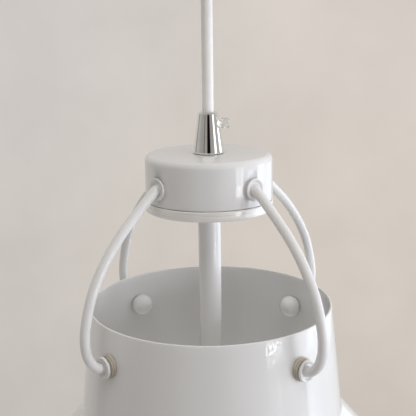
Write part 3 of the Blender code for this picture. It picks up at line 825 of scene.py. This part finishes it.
def add_stage():
    """Floor that curves up into a round wall, seen by the camera and by nothing else."""
    profile = [(0, FLOOR_Z), (1.2, FLOOR_Z), (WALL_RADIUS - COVE_RADIUS, FLOOR_Z)]
    profile += [(WALL_RADIUS + COVE_RADIUS * (math.sin(turn) - 1),
                 FLOOR_Z + COVE_RADIUS * (1 - math.cos(turn)))
                for turn in (math.radians(10 * step) for step in range(1, 10))]
    profile += [(WALL_RADIUS, WALL_TOP)]
    mesh = turned("pale_floor", profile, 96, closed=False, sharp_angle=80)
    mesh.materials.append(plaster())
    floor = linked("pale_floor", mesh)
    floor.visible_diffuse = False
    floor.visible_glossy = False
    floor.visible_shadow = False


def beside_camera(angle, distance, height):
    """Point at a horizontal angle to the right of the camera, seen from the lamp's axis."""
    turn = CAMERA_AZIMUTH - math.pi / 2 + math.radians(angle)
    return Vector((distance * math.cos(turn), distance * math.sin(turn), height))


def add_light(name, angle, distance, height, width, tall, power, colour):
    """Area light aimed at the lamp, left out of reflections, which the cards make."""
    light = bpy.data.lights.new(name, "AREA")
    light.shape = "RECTANGLE"
    light.size = width
    light.size_y = tall
    light.energy = power
    light.color = colour
    obj = linked(name, light)
    obj.location = beside_camera(angle, distance, height)
    obj.rotation_euler = (LAMP_MIDDLE - obj.location).to_track_quat("-Z", "Y").to_euler()
    obj.visible_camera = False
    obj.visible_glossy = False


def add_card(name, angle, width, tall, height, colour, strength=1.0, distance=2.0):
    """Upright card, glowing or dark, that only reflections show."""
    bm = bmesh.new()
    for right, up in ((-0.5, -0.5), (0.5, -0.5), (0.5, 0.5), (-0.5, 0.5)):
        bm.verts.new((right * width, 0, up * tall))
    bm.faces.new(bm.verts)
    look = Glow(name, colour, strength)
    card = linked(name, finish_mesh(bm, name))
    card.data.materials.append(look.material)
    card.location = beside_camera(angle, distance, height)
    card.rotation_euler = (0, 0, CAMERA_AZIMUTH + math.radians(angle))
    card.visible_camera = False
    card.visible_diffuse = False
    card.visible_shadow = False
    card.visible_transmission = False
    return look


def add_leaves(name, height, tall, brightest):
    """Card with the broken light of sunlit leaves."""
    look = add_card(name, 56, 0.56, tall, height, DAYLIGHT)
    look.set("Strength", look.levels(look.noise(1, 1, (13, 1, 85)), 0.45, 0.53, 0.5, brightest))


def add_windows():
    """Windows as reflections show them: panes over sunlit leaves in front, a bright one beside."""
    for column in range(4):
        add_card(f"pane_{column}", 49 + 4.5 * column, 0.10, 0.90, -0.06, DAYLIGHT, 2.2)
    for column, width in enumerate((0.09, 0.05, 0.15)):
        angle = 50 + 4.5 * column
        add_card(f"middle_pane_{column}", angle, width, 0.22, -0.43, DAYLIGHT, 6.0)
        add_card(f"low_pane_{column}", angle, 0.5 * width, 0.26, -0.85, DAYLIGHT, 1.6)
    add_leaves("leaves", -0.617, 0.13, 13)
    add_leaves("low_leaves", -0.70, 0.036, 4)
    add_card("side_window", 103, 0.66, 0.80, -0.40, (0.80, 0.90, 1.0), 2.8)
    add_card("low_shelf", 83, 0.92, 0.50, -0.60, (0.92, 0.955, 1.0), 0.95)
    add_card("side_low_pane", 94, 0.36, 0.50, -1.06, (0.84, 0.92, 1.0), 2.1)
    add_card("low_edge", 104, 0.28, 0.50, -0.93, PALE_DAYLIGHT, 1.2)
    add_card("low_wall", 131, 1.38, 0.50, -0.68, PALE_DAYLIGHT, 1.15)
    add_card("bright_ceiling", 0, 2.4, 0.4, 0.55, (1.0, 0.98, 0.96), 0.7, distance=1.0)


def add_room():
    """Even light from all round, dimmer from the camera's side than from behind the lamp."""
    world = bpy.data.worlds.new("room")
    bpy.context.scene.world = world
    look = Shading(world, "Background")
    depth = look.levels(look.axis("Y", "Generated"), -0.6, 0.6)
    look.set("Color", look.colours(depth, (0.0, (0.325, 0.309, 0.292)), (1.0, (0.58, 0.555, 0.525))))


def add_lights():
    add_room()
    add_light("window_front", 61, 2.0, -0.45, 0.63, 1.2, 13.7, (0.91, 0.93, 1.0))
    add_light("window_side", 98, 2.0, -0.35, 1.8, 1.4, 17.7, (0.81, 0.87, 1.0))
    add_light("window_rear", 134, 2.0, -0.45, 1.1, 1.3, 8.5, PALE_DAYLIGHT)
    add_light("ceiling_bounce", 20, 0.5, 1.1, 1.4, 1.4, 10, (1.0, 0.975, 0.95))
    add_light("floor_bounce", 0, 0.1, -1.6, 0.8, 0.8, 3.5, (1.0, 0.97, 0.94))
    add_windows()
    add_card("dark_card", 3, 0.33, 0.8, -0.32, (0.006, 0.005, 0.005), distance=0.75)
    add_card("brown_card", -33, 0.09, 0.8, -0.32, (0.14, 0.11, 0.085), distance=0.75)
    add_card("grey_card", -106, 0.20, 0.8, -0.32, (0.28, 0.27, 0.26), distance=0.75)


def add_camera():
    camera = linked("camera", bpy.data.cameras.new("camera"))
    camera.data.sensor_width = CAMERA_SENSOR
    camera.data.lens = CAMERA_LENS
    camera.location = beside_camera(0, CAMERA_DISTANCE, RIM_Z + CAMERA_ABOVE_RIM)
    aim = Euler((math.pi / 2 - CAMERA_DOWN, 0, CAMERA_AZIMUTH + CAMERA_ASIDE)).to_quaternion()
    camera.rotation_mode = "QUATERNION"
    camera.rotation_quaternion = aim @ Quaternion((0, 0, 1), CAMERA_ROLL)
    bpy.context.scene.camera = camera
    bpy.context.scene.view_settings.view_transform = "Standard"


add_camera()
add_grips()
cap_piece = add_cap()
add_arms()
shade_piece = add_shade()
add_rose()
add_flex()
add_lampholder()
add_bulb()
drill(cap_piece, ARM_HOLE, near=0.033, far=0.041, height=RIM_Z + ARM_TOP)
drill(shade_piece, ARM_HOLE, near=0.070, far=0.082, height=RIM_Z + ARM_FOOT)
dress_nodes()
add_stage()
add_lights()
